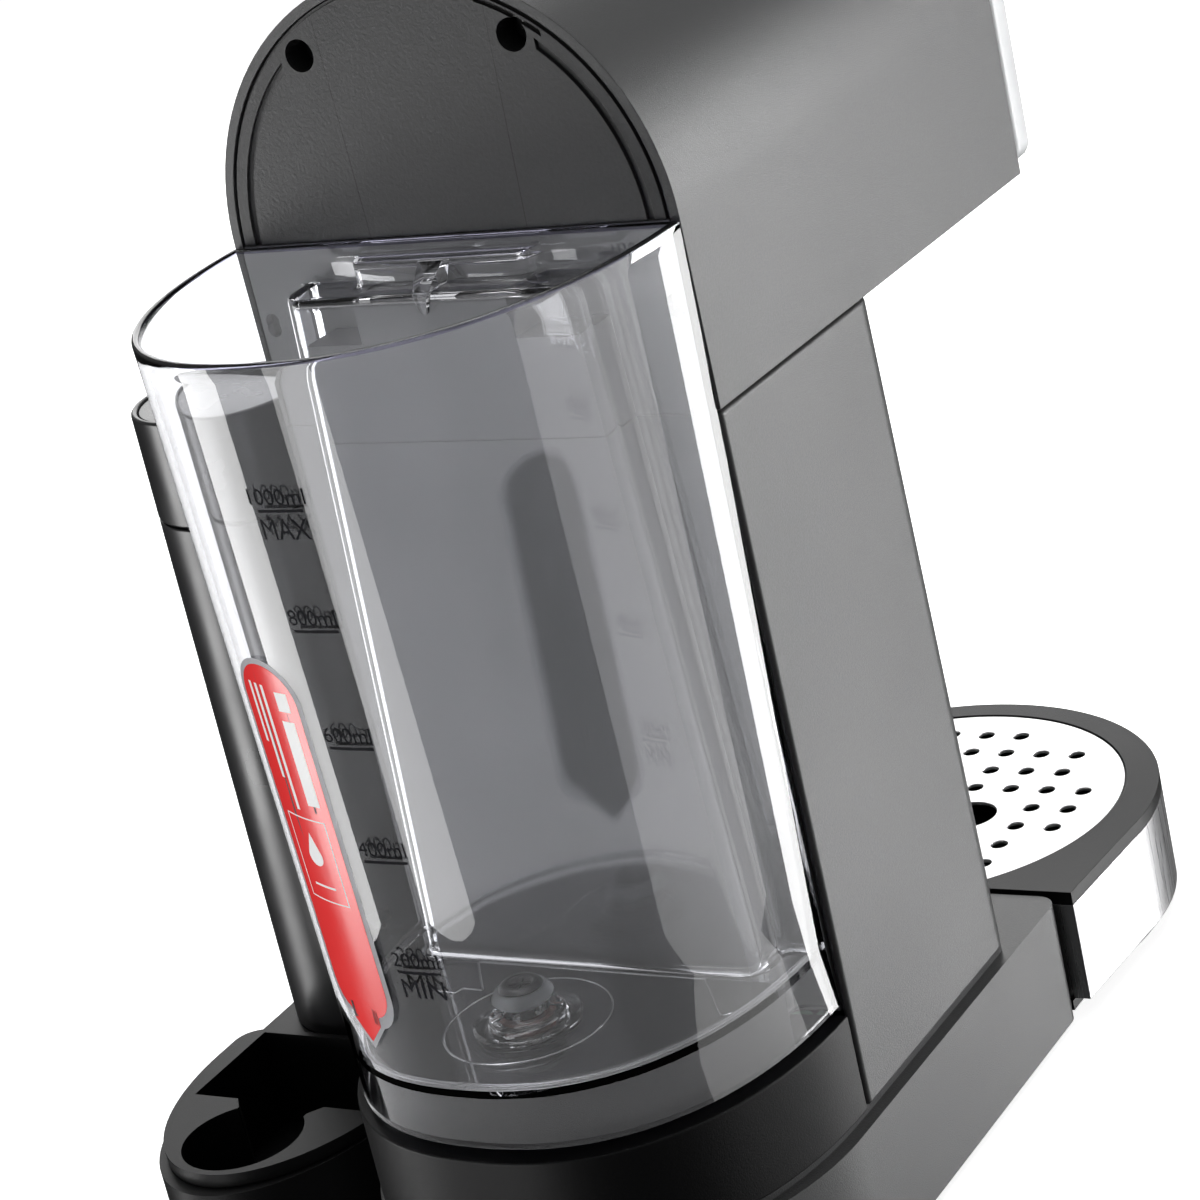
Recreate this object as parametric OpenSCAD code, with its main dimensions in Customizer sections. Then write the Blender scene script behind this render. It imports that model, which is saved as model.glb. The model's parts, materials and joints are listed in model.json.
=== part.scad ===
// Pod coffee machine with a rear water tank, a round head, a drip tray and a side dock.
// The front faces -Y, the tank is at +Y and the dock is at +X. The frame's origin is the
// centre of the bounding box, on the surface that the feet stand on.

/* [Body] */
// Width of the column and of the head
body_w = 128; // [120:1:136]
// Height of the arch's centre over the base's bottom edge
arch_z = 272.9; // [262:0.1:284]
// Height of the seam between the column and the head
seam_z = 226; // [220:1:230]
// Length of the head from the rear face to the bezel
head_len = 177; // [172:1:182]
// Thickness of the silver bezel
bezel_t = 10; // [8:1:12]
// Depth of the column at its top
column_top_d = 85; // [80:1:86]
// Depth of the column at its bottom
column_foot_d = 90; // [88:1:94]
// Wall thickness of the housings
wall = 2.5; // [2:0.1:3]

/* [Base] */
// Height of the base's deck
base_h = 36.2; // [34:0.1:38]
// Half width of the base
base_half_w = 65.7; // [65:0.1:67]
// Distance from the rear face to the front of the base
base_front = 117; // [114:1:118]
// Height of the rubber feet
foot_h = 2.5; // [2:0.5:4]

/* [Tank] */
// Half width of the tank's rim
rim_half_w = 64; // [62:0.5:65]
// Depth of the tank's rim
rim_d = 88.7; // [84:0.1:92]
// Height of the tank's rim
rim_z = 272.8; // [260:0.1:276]
// Half width of the tank at its floor
floor_half_w = 61; // [60:0.5:62]
// Depth of the tank at its floor
floor_d = 79.4; // [78:0.1:82]
// Height of the tank's floor
tank_floor_z = 84.6; // [84:0.1:86]
// Wall thickness of the tank
tank_wall = 2.2; // [1.8:0.1:2.5]
// Distance from the rear face to the tank valve
valve_y = 44.5; // [42:0.5:47]

/* [Drip tray] */
// Radius of the tray's round front
tray_r = 71.4; // [70:0.1:73]
// Distance from the rear face to the centre of the tray's round front
tray_y = 166; // [164:1:168]
// Radius of the grate
grate_r = 60.2; // [58:0.1:60.4]
// Pitch of the drain holes
drain_pitch = 11.7; // [11:0.1:13]
// Radius of a drain hole
drain_r = 2.5; // [2:0.1:3]

/* [Dock] */
// Outer side of the dock
dock_right = 140; // [138:1:142]
// Radius of the round hole in the dock
dock_hole_r = 16.9; // [15:0.1:18]
// Radius of the storage tube
tube_r = 24; // [22:0.5:25]
// Height of the top of the storage tube
tube_top = 190.7; // [180:0.1:195]
// Height of the top of the wand
wand_top = 221.3; // [218:0.1:230]

/* [Controls] */
// Radius of a front button
button_r = 8; // [6:0.5:9]
// Distance between the front buttons
button_pitch = 26; // [22:1:28]
// Height of the front buttons
button_z = 262; // [258:1:266]

/* [Hidden] */
$fn = 64;

// The frame: the middle of the box in plan, and the floor under the feet
mid_x = (dock_right - tray_r) / 2;
mid_y = (rim_d - tray_y - tray_r) / 2;

// Body
head_r = body_w / 2;
gap = 0.2;
inner_r = head_r - wall;
neck_h = 2.8;
column_z = base_h + neck_h;
column_edge_r = 10;
seam_half = 0.3;
head_z = seam_z + seam_half;
bulge_d = 13.5;
bulge_foot_w = 46.8;
bulge_head_w = 38.8;
bulge_top = 251;
bulge_step_w = 22;
bulge_step_top = 260.8;
slot_r = 2;
slot_x = 57.5;
slot_z = 252.4;
seam_depth = 0.5;
base_straight = 10;
base_rear_d = 83;
gland_r = 7;
gland_bore_r = 3.6;
gland_z = 16;
guide_t = 3;

// Pedestal under the tank
pedestal_top = 66;
pedestal_d = 80.5;
pedestal_gap = 1.5;
platform_half_w = 57.5;
platform_d = 73.5;
platform_y = 17;
platform_top = tank_floor_z - tank_wall - 0.3;
socket_r = 13;
socket_z = 66.5;

// Tank
skirt_z = 68.6;
skirt_half_w = 62;
skirt_d = 78.3;
tank_front = 0.6;
recess_y = 16.4;
recess_top = 263.4;
recess_foot_w = 48;
recess_head_w = 40;
recess_wall = 2;
valve_bore_r = 5.2;
plunger_travel = 1.5;

// Water path inside
pump_y = -40;
barb_r = 3;
barb_bore_r = 1.6;
hose_r = 4.6;
hose_bore_r = 3.05;
bend_r = 12;
hose_low_z = 48;
pump_foot = 85;
pump_head = 150;
heater_foot = 239;
heater_head = 305;
heater_r = 26;
outlet_z = 290;

// Brew group
pod_y = -137;
pod_rim_z = 300;
pod_r = 25.8;
lid_half_w = 42;
lid_rear = -98.5;
lid_front = -175.5;
lid_wall_z = 316;
liner_z = 313;
hinge_y = -95;
hinge_z = 334;
knuckle_r = 2.9;
knuckle_x = 10.15;
knuckle_half = 3.85;
hinge_bore_r = 1.25;
opening_rear = -91.5;

// Front
panel_y = -184.5;
panel_t = 2.5;
panel_r = 59.2;
bezel_in_r = 59.5;
bezel_foot_z = 231;
board_y = -178.6;
button_travel = 1;

lens_half_w = 14;
lens_z = 290;
spout_r = 13.5;

// Rear cover
cover_screw_x = 30.2;
cover_screw_z = 318.9;
cover_edge_r = 60.5;
groove_r = 57.4;
groove_w = 2;
groove_depth = 1.1;

// Tank label
label_x = 23;
label_t = 0.15;
label_r = 11.8;
label_top = 198.8;
label_tip = 92.8;
label_foot = [[label_r, 19.2], [9.8, 11.2], [3, 8.7], [3, 5.2], [7, 6.2], [0, 0]];

// Dock
dock_mid_x = 103.7;
dock_rear_y = 5;
dock_depth = 61;
plate_depth = 57.6;
dock_front = -70;
dock_top = 36;
plate_top = 40;
plate_front = -11;
pocket = [76, -8.6, 132.8, 25.5];
throat = [88, 91.9, 114.7, 118.6];
pocket_floor = 11;
dock_hole_y = 43;
tub_wall = 2;
wand_x = 114.4;
wand_y = -39.3;
wand_foot = 128;
wand_floor = 2.5;
whisk_z = 55;
whisk_r = 10;
shaft_r = 1.1;
key_depth = 5.2;
key_gap = 0.3;

// Drip tray
tray_rear = -118.5;
tray_rear_half_w = 68.8;
tray_foot = 3.3;
tray_top = 37;
band_top = 33;
band_t = 1;
basin_wall = 2;
grate_t = 1.2;
grate_top = 36.6;
grate_y = -169;
grate_rear = -120.9;
finger_r = 8.5;
finger_x = 17.4;
finger_y = 6;
drain_cells = 4;

// Puts a shape that is drawn from the rear face and the base's edge into the frame
module place() translate([-mid_x, -mid_y, foot_h]) children();

function arc(x, y, r, from, to, steps = 8) =
  [for (i = [0:steps]) let (t = from + (to - from) * i / steps) [x + r * cos(t), y + r * sin(t)]];

// A D-shaped outline: a superellipse that starts at y0 and reaches depth d
function d_points(a, d, y0 = 0, power = 2.29, steps = 48) =
  [for (i = [0:steps]) let (t = 180 * i / steps)
    [a * sign(cos(t)) * pow(abs(cos(t)), 2 / power), y0 + (d - y0) * pow(sin(t), 2 / power)]];

module d_slab(a, d, z0, z1, y0 = 0, power = 2.29)
  translate([0, 0, z0]) linear_extrude(z1 - z0) polygon(d_points(a, d, y0, power));

// A round-topped solid along Y, from y0 forward to y1 and from z0 up
module arch_solid(r, y0, y1, z0) intersection() {
  union() {
    translate([0, y0, arch_z]) rotate([90, 0, 0]) cylinder(r = r, h = y0 - y1);
    translate([-r, y1, arch_z - r]) cube([2 * r, y0 - y1, r]);
  }
  translate([-r, y1, z0]) cube([2 * r, y0 - y1, arch_z + r - z0]);
}

// A cylinder along Z from z0 to z1
module post(r, z0, z1, x = 0, y = 0) translate([x, y, z0]) cylinder(r = r, h = z1 - z0);

// A cylinder along Y from y0 forward to y1
module rod_y(r, y0, y1, x = 0, z = 0)
  translate([x, y0, z]) rotate([90, 0, 0]) cylinder(r = r, h = y0 - y1);

// A cylinder along X from x0 to x1
module rod_x(r, x0, x1, y = 0, z = 0)
  translate([x0, y, z]) rotate([0, 90, 0]) cylinder(r = r, h = x1 - x0);

// A box between two corners
module block(low, high) translate(low) cube(high - low);

// ---- Base ----

function base_points(inset) = concat(
  d_points(base_half_w - inset, base_rear_d - inset, base_straight, 2),
  arc(-base_half_w + 6, -base_front + 6, 6 - inset, 180, 270),
  arc(base_half_w - 6, -base_front + 6, 6 - inset, 270, 360));

// The neck between the base and the column, drawn in from their sides
function neck_points(inset) = concat(
  d_points(head_r - inset, pedestal_d - inset),
  [[inset - head_r, inset + 2 - column_foot_d], [head_r - inset, inset + 2 - column_foot_d]]);

screw_spots = [[-52, -100], [52, -100], [-48, 40], [48, 40]];

module base_housing() color("#26282a") place() difference() {
  union() {
    difference() {
      linear_extrude(base_h) polygon(base_points(0));
      translate([0, 0, -1]) linear_extrude(base_h - wall + 1) polygon(base_points(wall));
    }
    translate([0, 0, base_h - 0.1]) linear_extrude(neck_h + 0.1) polygon(neck_points(2));
    for (spot = screw_spots) post(4, wall + 0.6, base_h - 1, spot[0], spot[1]);
  }
  translate([0, 0, base_h - wall - 1]) linear_extrude(neck_h + wall + 2) polygon(neck_points(7));
  for (spot = screw_spots) post(1.5, wall, base_h - 6, spot[0], spot[1]);
  block([wall - base_half_w, -base_front - 1, -1], [base_half_w - wall, -base_front + wall + 4, 3.1]);
  rod_y(gland_r, base_rear_d + 2, base_rear_d - 6, 0, gland_z);
}

module base_plate() color("#1b1c1d") place() difference() {
  union() {
    linear_extrude(wall) polygon(base_points(wall + gap));
    intersection() {
      union() {
        post(tray_r - 3, 0, guide_t, 0, -tray_y);
        block([5 - tray_rear_half_w, -tray_y, 0], [tray_rear_half_w - 5, -base_front + 8, guide_t]);
      }
      block([-tray_r, -tray_y - tray_r, 0], [tray_r, -base_front - 0.4, guide_t]);
    }
    block([wall + gap - base_half_w, -base_front - 1, 0], [base_half_w - wall - gap, -base_front + 8, wall]);
  }
  for (spot = screw_spots) post(1.8, -1, 4, spot[0], spot[1]);
  for (spot = screw_spots) post(3.6, -1, 1.2, spot[0], spot[1]);
}

foot_spots = [[-45, 50], [45, 50], [-52, -80], [52, -80], [-38, -205], [38, -205], [112, -48], [104, 45]];

module rubber_feet() color("#2e2e2e") place() for (spot = foot_spots) post(7, -foot_h, 0, spot[0], spot[1]);

module base_screws() color("#b8babd") place() for (spot = screw_spots) {
  post(3.4, 0.1, 1.2, spot[0], spot[1]);
  post(1.4, 1.2, 12, spot[0], spot[1]);
}

module cord_gland() color("#1a1a1a") place() difference() {
  union() {
    rod_y(gland_r - 0.1, base_rear_d + 3, base_rear_d - 7, 0, gland_z);
    rod_y(gland_r + 2, base_rear_d - wall - 1.3, base_rear_d - 7, 0, gland_z);
  }
  rod_y(gland_bore_r, base_rear_d + 4, base_rear_d - 8, 0, gland_z);
}

// ---- Pedestal and inlet ----

module pedestal_shell() color("#1d1e20") place() difference() {
  union() {
    intersection() {
      d_slab(head_r, pedestal_d, column_z, pedestal_top);
      block([-head_r, pedestal_gap, column_z], [head_r, pedestal_d, pedestal_top]);
    }
    intersection() {
      d_slab(platform_half_w, platform_d, pedestal_top - 1, platform_top);
      block([-head_r, platform_y, pedestal_top - 1], [head_r, pedestal_d, platform_top]);
    }
  }
  d_slab(head_r - wall, pedestal_d - wall, column_z - 1, pedestal_top - wall);
  intersection() {
    d_slab(platform_half_w - wall, platform_d - wall, column_z, platform_top - wall);
    block([-head_r, platform_y + wall, column_z], [head_r, pedestal_d, platform_top - wall]);
  }
  post(socket_r, platform_top - wall - 1, platform_top + 1, 0, valve_y);
}

module inlet_socket() color("#34373a") place() difference() {
  union() {
    post(socket_r - 0.2, socket_z, platform_top, 0, valve_y);
    post(socket_r + 2.5, platform_top - wall - 2.5, platform_top - wall, 0, valve_y);
    post(barb_r, socket_z - 6, socket_z + 1, 0, valve_y);
  }
  difference() {
    post(socket_r - 1.8, socket_z + 3, platform_top + 1, 0, valve_y);
    post(2.4, socket_z + 2, socket_z + 7.8, 0, valve_y);
  }
  post(barb_bore_r, socket_z - 7, socket_z + 9, 0, valve_y);
}

module inlet_seal() color("#8f4a3a") place() translate([0, valve_y, 0]) rotate_extrude()
  polygon([[6.5, 69.6], [11, 69.6], [11, 72], [9.4, 72], [9.4, 76.3], [7.8, 76.3], [7.8, 72], [6.5, 72]]);

// ---- Column ----

module column_slab(depth, inset, z) translate([0, 0, z]) linear_extrude(0.01)
  polygon(concat([[head_r - inset, 0], [inset - head_r, 0]],
    arc(column_edge_r - head_r, column_edge_r - depth, column_edge_r - inset, 180, 270),
    arc(head_r - column_edge_r, column_edge_r - depth, column_edge_r - inset, 270, 360)));

module column_shell() color("#3a3c3f") place() difference() {
  hull() {
    column_slab(column_foot_d, 0, column_z);
    column_slab(column_top_d, 0, seam_z - seam_half);
  }
  hull() {
    translate([0, 1, -1]) column_slab(column_foot_d + 1, wall, column_z);
    translate([0, 1, 1]) column_slab(column_top_d + 1, wall, seam_z - seam_half);
  }
}

module bulge_outline(foot_w, head_w, z0, z1)
  polygon([[-foot_w, z0], [foot_w, z0], [head_w, z1], [-head_w, z1]]);

// The raised part of the rear panel that fills the tank's recess, drawn in by a distance
module bulge(inset) {
  translate([0, bulge_d - inset, 0]) rotate([90, 0, 0]) linear_extrude(bulge_d + 1)
    bulge_outline(bulge_foot_w - inset, bulge_head_w - inset, pedestal_top + gap + inset, bulge_top - inset);
  block([inset - bulge_step_w, -1 - inset, bulge_top - inset - 1],
    [bulge_step_w - inset, bulge_d - inset, bulge_step_top - inset]);
}

module rear_panel() color("#333538") place() difference() {
  union() {
    block([0.4 - inner_r, -wall, pedestal_top + gap], [inner_r - 0.4, 0, arch_z - gap]);
    bulge(0);
  }
  bulge(wall);
  for (side = [-1, 1]) for (rise = [-1, 1]) rod_y(slot_r, 1, -wall - 1, side * slot_x, slot_z + rise);
  difference() {
    block([-head_r, -seam_depth, seam_z - seam_half], [head_r, bulge_d + 1, seam_z + seam_half]);
    bulge(seam_depth);
    block([-head_r, -wall, 0], [head_r, -seam_depth, arch_z]);
  }
}

// ---- Head ----

module head_knuckles() difference() {
  for (side = [-1, 1]) {
    near = side * knuckle_x - knuckle_half;
    far = side * knuckle_x + knuckle_half;
    rod_x(knuckle_r, near, far, hinge_y, hinge_z);
    block([near, hinge_y, hinge_z - 2.5], [far, opening_rear + 0.5, hinge_z + 1]);
  }
  rod_x(hinge_bore_r, -20, 20, hinge_y, hinge_z);
}

module head_shell() color("#3a3c3f") place() {
  difference() {
    union() {
      difference() {
        arch_solid(head_r, 0, -head_len, head_z);
        arch_solid(inner_r, 1, -head_len - 1, head_z - 1);
      }
      for (x = [-cover_screw_x, cover_screw_x]) {
        rod_y(4.5, -12.6, -24, x, cover_screw_z);
        block([x - 2, -24, cover_screw_z], [x + 2, -12.6, cover_screw_z + 8.5]);
      }
    }
    for (x = [-cover_screw_x, cover_screw_x]) rod_y(1.5, -12, -22, x, cover_screw_z);
    block([-lid_half_w - 0.6, -head_len - 1, 300], [lid_half_w + 0.6, opening_rear, arch_z + head_r + 1]);
  }
  head_knuckles();
}

module head_underside() color("#2b2d2f") place() difference() {
  block([0.4 - inner_r, 0.4 - head_len, head_z], [inner_r - 0.4, -column_foot_d + 2, head_z + wall]);
  post(spout_r + 0.3, head_z - 1, head_z + wall + 1, 0, pod_y);
}

// A groove in the rear cover between two radii of the arch, from x0 to x1
module cover_groove(near, far, x0, x1) intersection() {
  difference() {
    rod_y(far, 1, -groove_depth, 0, arch_z);
    rod_y(near, 2, -groove_depth - 1, 0, arch_z);
  }
  block([x0, -wall, arch_z - 1], [x1, 2, arch_z + head_r]);
}

module rear_cover() color("#242527") place() difference() {
  union() {
    arch_solid(inner_r - gap, 0, -wall, arch_z);
    for (x = [-cover_screw_x, cover_screw_x]) rod_y(6, -wall + 0.5, -12.4, x, cover_screw_z);
  }
  for (x = [-cover_screw_x, cover_screw_x]) {
    rod_y(4, 1, -10, x, cover_screw_z);
    rod_y(1.9, -9, -13, x, cover_screw_z);
  }
  cover_groove(cover_edge_r, inner_r + 1, -head_r, head_r);
  for (side = [-1, 1]) cover_groove(groove_r - groove_w, groove_r, side * 48 - 12, side * 48 + 12);
  cover_groove(groove_r + 1.4, groove_r + 2.6, -38, -22);
}

module rear_cover_screws() color("#17181a") place() for (x = [-cover_screw_x, cover_screw_x]) {
  difference() {
    rod_y(3.4, -7.6, -10, x, cover_screw_z);
    rod_y(1.4, -7, -9, x, cover_screw_z);
  }
  rod_y(1.4, -10, -21, x, cover_screw_z);
}

// ---- Front ----

module front_bezel() color("#c9cacc") place() {
  difference() {
    arch_solid(head_r, -head_len - gap, -head_len - bezel_t, bezel_foot_z - 3);
    arch_solid(bezel_in_r, -head_len + 1, -head_len - bezel_t - 1, bezel_foot_z);
    for (side = [-1, 1]) translate([side * head_r, -head_len + 1, bezel_foot_z - 3])
      rotate([90, 0, 0]) linear_extrude(bezel_t + 2)
        polygon([[side * 1, -1], [side * -4.5, -1], [side * 1, 4.5]]);
  }
}

module front_panel() color("#101113") place() difference() {
  arch_solid(panel_r, panel_y + panel_t, panel_y, bezel_foot_z + 0.3);
  for (i = [-1:1])
    rod_y(button_r + 0.3, panel_y + panel_t + 1, panel_y - 1, i * button_pitch, button_z);
  block([-lens_half_w - 0.2, panel_y - 1, lens_z - 2.2],
    [lens_half_w + 0.2, panel_y + panel_t + 1, lens_z + 2.2]);
}

module status_lens() color("#dfe8f0") place() union() {
  block([-lens_half_w, panel_y, lens_z - 2], [lens_half_w, panel_y + panel_t, lens_z + 2]);
  block([-lens_half_w - 2, panel_y + panel_t, lens_z - 4],
    [lens_half_w + 2, panel_y + panel_t + 1, lens_z + 4]);
}

module button_cap(i) {
  rod_y(button_r, panel_y + panel_t + gap, panel_y - 1.9, i * button_pitch, button_z);
  rod_y(button_r + 1, panel_y + panel_t + 1.1, panel_y + panel_t + gap, i * button_pitch, button_z);
}

module power_button() color("#2f3134") place() button_cap(-1);
module small_cup_button() color("#2f3134") place() button_cap(0);
module large_cup_button() color("#2f3134") place() button_cap(1);

module tact_switches() color("#0e0e0e") place() for (i = [-1:1]) {
  x = i * button_pitch;
  rod_y(1.6, board_y - 1, panel_y + panel_t + 1.1 + button_travel + 0.1, x, button_z);
  block([x - 3, board_y - 1, button_z - 3], [x + 3, board_y, button_z + 3]);
}

module control_board() color("#1d5a36") place() union() {
  block([-42, board_y, 240], [42, board_y + 1.6, 290]);
  block([-8, board_y + 1.6, 243], [8, board_y + 3, 253]);
}

module power_board() color("#1d5a36") place() union() {
  block([-40, -86, 6], [20, -46, 7.6]);
  block([-36, -82, 7.6], [-14, -58, 26]);
  post(5, 7.6, 22, -4, -70);
  post(4, 7.6, 18, 10, -76);
  block([-6, -60, 7.6], [14, -51, 16]);
  for (x = [-36, 16]) for (y = [-83, -49]) post(2.2, wall, 6.1, x, y);
}

// ---- Water path and heater ----

module pump() color("#d8d5cb") place() difference() {
  union() {
    post(18, pump_foot, pump_head, 0, pump_y);
    post(12, pump_foot - 2, pump_head + 2, 0, pump_y);
    post(barb_r, pump_foot - 9, pump_head + 8, 0, pump_y);
  }
  post(barb_bore_r, pump_foot - 10, pump_foot + 4, 0, pump_y);
  post(barb_bore_r, pump_head - 4, pump_head + 9, 0, pump_y);
}

module pump_mounts() color("#222222") place() for (z = [pump_foot + 3, pump_head - 11]) difference() {
  post(21.9, z, z + 8, 0, pump_y);
  post(18.1, z - 1, z + 9, 0, pump_y);
}

module pump_bracket() color("#9da0a3") place() difference() {
  union() {
    block([-28, -6.2, pump_foot + 1], [28, -3.6, pump_head - 1]);
    for (z = [pump_foot + 5.5, pump_head - 8.5]) block([-28, pump_y - 26, z], [28, -3.6, z + 3]);
  }
  post(22, pump_foot, pump_head, 0, pump_y);
}

module hose_run(length) difference() {
  cylinder(r = hose_r, h = length);
  translate([0, 0, -1]) cylinder(r = hose_bore_r, h = length + 2);
}

// A quarter bend in the YZ plane about the origin, from +Y down to -Z
module hose_bend() rotate([-90, 0, 90]) rotate_extrude(angle = 90) translate([bend_r, 0]) difference() {
  circle(r = hose_r);
  circle(r = hose_bore_r);
}

module suction_hose() color("#e4e4df") place() {
  low_end = hose_low_z + bend_r;
  translate([0, valve_y, low_end]) hose_run(socket_z - low_end - gap);
  translate([0, valve_y - bend_r, low_end]) hose_bend();
  translate([0, valve_y - bend_r, hose_low_z]) rotate([90, 0, 0]) hose_run(valve_y - pump_y - 2 * bend_r);
  translate([0, pump_y + bend_r, low_end]) rotate([-90, 0, 0]) hose_bend();
  translate([0, pump_y, low_end]) hose_run(pump_foot - 2 - low_end - gap);
}

module pressure_hose() color("#e4e4df") place()
  translate([0, pump_y, pump_head + 2 + gap]) hose_run(heater_foot - pump_head - 2 - 2 * gap);

module heater_bracket() color("#9da0a3") place() difference() {
  block([1 - inner_r, pump_y - 32, heater_foot - 3], [inner_r - 1, pump_y + 32, heater_foot]);
  post(6, heater_foot - 4, heater_foot + 1, 0, pump_y);
}

module heating_block() color("#aeb1b4") place() difference() {
  union() {
    post(heater_r, heater_foot, heater_head, 0, pump_y);
    post(barb_r, heater_foot - 10, heater_foot + 1, 0, pump_y);
    rod_y(barb_r, pump_y - heater_r + 3, pump_y - heater_r - 8, 0, outlet_z);
  }
  post(barb_bore_r, heater_foot - 11, heater_foot + 12, 0, pump_y);
  rod_y(barb_bore_r, pump_y - heater_r + 12, pump_y - heater_r - 9, 0, outlet_z);
}

module thermostats() color("#cfc9b8") place() for (side = [-1, 1]) {
  x = side * (heater_r + 4.2);
  rod_x(8, x - 4, x + 4, pump_y, (heater_foot + heater_head) / 2);
}

module hot_water_hose() color("#e4e4df") place()
  translate([0, pump_y - heater_r - 0.3, outlet_z]) rotate([90, 0, 0]) hose_run(26);

module water_port() color("#4a4d50") place() difference() {
  union() {
    rod_y(barb_r, -84, -94, 0, outlet_z);
    block([-6, pod_y + 35.3, outlet_z - 6], [6, -93, outlet_z + 6]);
    post(3.5, outlet_z + 5, liner_z, 0, -97.5);
  }
  rod_y(barb_bore_r, -83, -97.5, 0, outlet_z);
  post(barb_bore_r, outlet_z, liner_z + 1, 0, -97.5);
}

// ---- Brew group ----

module pod_chamber() color("#2b2d2f") place() difference() {
  post(35, head_z + wall, pod_rim_z, 0, pod_y);
  post(29, head_z + wall - 1, pod_rim_z + 1, 0, pod_y);
  post(33.3, pod_rim_z - 3.2, pod_rim_z + 1, 0, pod_y);
}

module pod_holder() color("#1c1d1f") place() difference() {
  union() {
    post(33, pod_rim_z - 3.2, pod_rim_z, 0, pod_y);
    post(28.4, pod_rim_z - 50, pod_rim_z - 1, 0, pod_y);
    post(5, pod_rim_z - 60, pod_rim_z - 49, 0, pod_y);
  }
  post(pod_r, pod_rim_z - 47.5, pod_rim_z + 1, 0, pod_y);
  post(3, pod_rim_z - 61, pod_rim_z - 46, 0, pod_y);
}

module lower_needle() color("#d5d7d9") place() difference() {
  union() {
    post(4, pod_rim_z - 47.5, pod_rim_z - 46, 12, pod_y);
    translate([12, pod_y, pod_rim_z - 46.1]) cylinder(r1 = 1.6, r2 = 0.6, h = 11);
  }
  post(0.4, pod_rim_z - 48, pod_rim_z - 34, 12, pod_y);
}

module spout() color("#202123") place() translate([0, pod_y, 0]) rotate_extrude()
  polygon([[4, 214], [spout_r, 214], [spout_r, head_z + wall + gap], [20, head_z + wall + gap],
    [20, head_z + wall + 3], [11.5, head_z + wall + 3], [11.5, 238], [9.5, 238], [9.5, 226]]);

module brew_lid() color("#303235") place() difference() {
  union() {
    difference() {
      intersection() {
        arch_solid(head_r, lid_rear, lid_front, lid_wall_z);
        block([-lid_half_w, lid_front, lid_wall_z], [lid_half_w, lid_rear, arch_z + head_r + 1]);
      }
      intersection() {
        arch_solid(head_r - 2.8, lid_rear, lid_front, lid_wall_z - 1);
        block([wall - lid_half_w, lid_front + 4, lid_wall_z - 1],
          [lid_half_w - wall, lid_rear - wall, arch_z + head_r]);
      }
      block([-lid_half_w - 1, lid_front - 1, lid_wall_z - 1],
        [lid_half_w + 1, lid_front + 1.6, lid_wall_z + 8]);
    }
    rod_x(knuckle_r, -6, 6, hinge_y, hinge_z);
    block([-6, lid_rear - 1, hinge_z - 2.5], [6, hinge_y, hinge_z + 1]);
  }
  rod_x(hinge_bore_r, -7, 7, hinge_y, hinge_z);
}

module lid_liner() color("#232426") place() difference() {
  union() {
    block([-lid_half_w + 1, -172, liner_z], [lid_half_w - 1, -94.5, lid_wall_z]);
    post(29, pod_rim_z + 3, liner_z, 0, pod_y);
  }
  post(2.1, pod_rim_z + 2, lid_wall_z + 1, 0, pod_y);
}

module upper_needle() color("#d5d7d9") place() difference() {
  union() {
    translate([0, pod_y, 290]) cylinder(r1 = 0.7, r2 = 2, h = 14);
    post(2, 303.9, liner_z + 2, 0, pod_y);
  }
  post(0.5, 289, liner_z + 3, 0, pod_y);
}

module pod_seal() color("#8f4a3a") place() difference() {
  post(28, pod_rim_z + 0.3, pod_rim_z + 3, 0, pod_y);
  post(22, pod_rim_z - 1, pod_rim_z + 4, 0, pod_y);
}

module lid_grip() color("#c9cacc") place() difference() {
  block([-15, lid_front + 4, arch_z + head_r - 4], [15, lid_front + 11, arch_z + head_r + 3]);
  rod_y(head_r, lid_rear, lid_front - 1, 0, arch_z, $fn = 180);
}

module hinge_pin() color("#b8babd") place() rod_x(hinge_bore_r - 0.05, -14, 14, hinge_y, hinge_z);

// ---- Tank ----

// A solid through D-shaped rings, each given as [half width, depth, height]
module d_loft(levels, y0 = 0, steps = 48) {
  points = [for (l = levels) each [for (p = d_points(l[0], l[1], y0, 2.29, steps)) [p[0], p[1], l[2]]]];
  n = steps + 1;
  sides = [for (k = [0:len(levels) - 2]) for (i = [0:n - 1]) let (j = (i + 1) % n)
    each [[n * k + i, n * k + n + i, n * k + j], [n * k + j, n * k + n + i, n * k + n + j]]];
  top = n * (len(levels) - 1);
  foot = [for (i = [0:n - 1]) i];
  head = [for (i = [n - 1:-1:0]) top + i];
  polyhedron(points, concat([foot], sides, [head]), convexity = 6);
}

module tank_outer(grow) d_loft([
  [skirt_half_w + grow, skirt_d + grow, skirt_z],
  [floor_half_w + grow, floor_d + grow, tank_floor_z],
  [rim_half_w + grow, rim_d + grow, rim_z]], tank_front);

module tank_inside() d_loft([
  [floor_half_w - tank_wall, floor_d - tank_wall, tank_floor_z],
  [rim_half_w - tank_wall, rim_d - tank_wall, rim_z + 1]], tank_front + tank_wall);

module tank_under() d_loft([
  [skirt_half_w - tank_wall, skirt_d - tank_wall, skirt_z - 1],
  [floor_half_w - tank_wall, floor_d - tank_wall, tank_floor_z - tank_wall]], tank_front + tank_wall);

module recess_prism(extra, y_far, z0, z1) translate([0, y_far, 0]) rotate([90, 0, 0])
  linear_extrude(y_far + 1) bulge_outline(recess_foot_w + extra, recess_head_w + extra, z0, z1);

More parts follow.
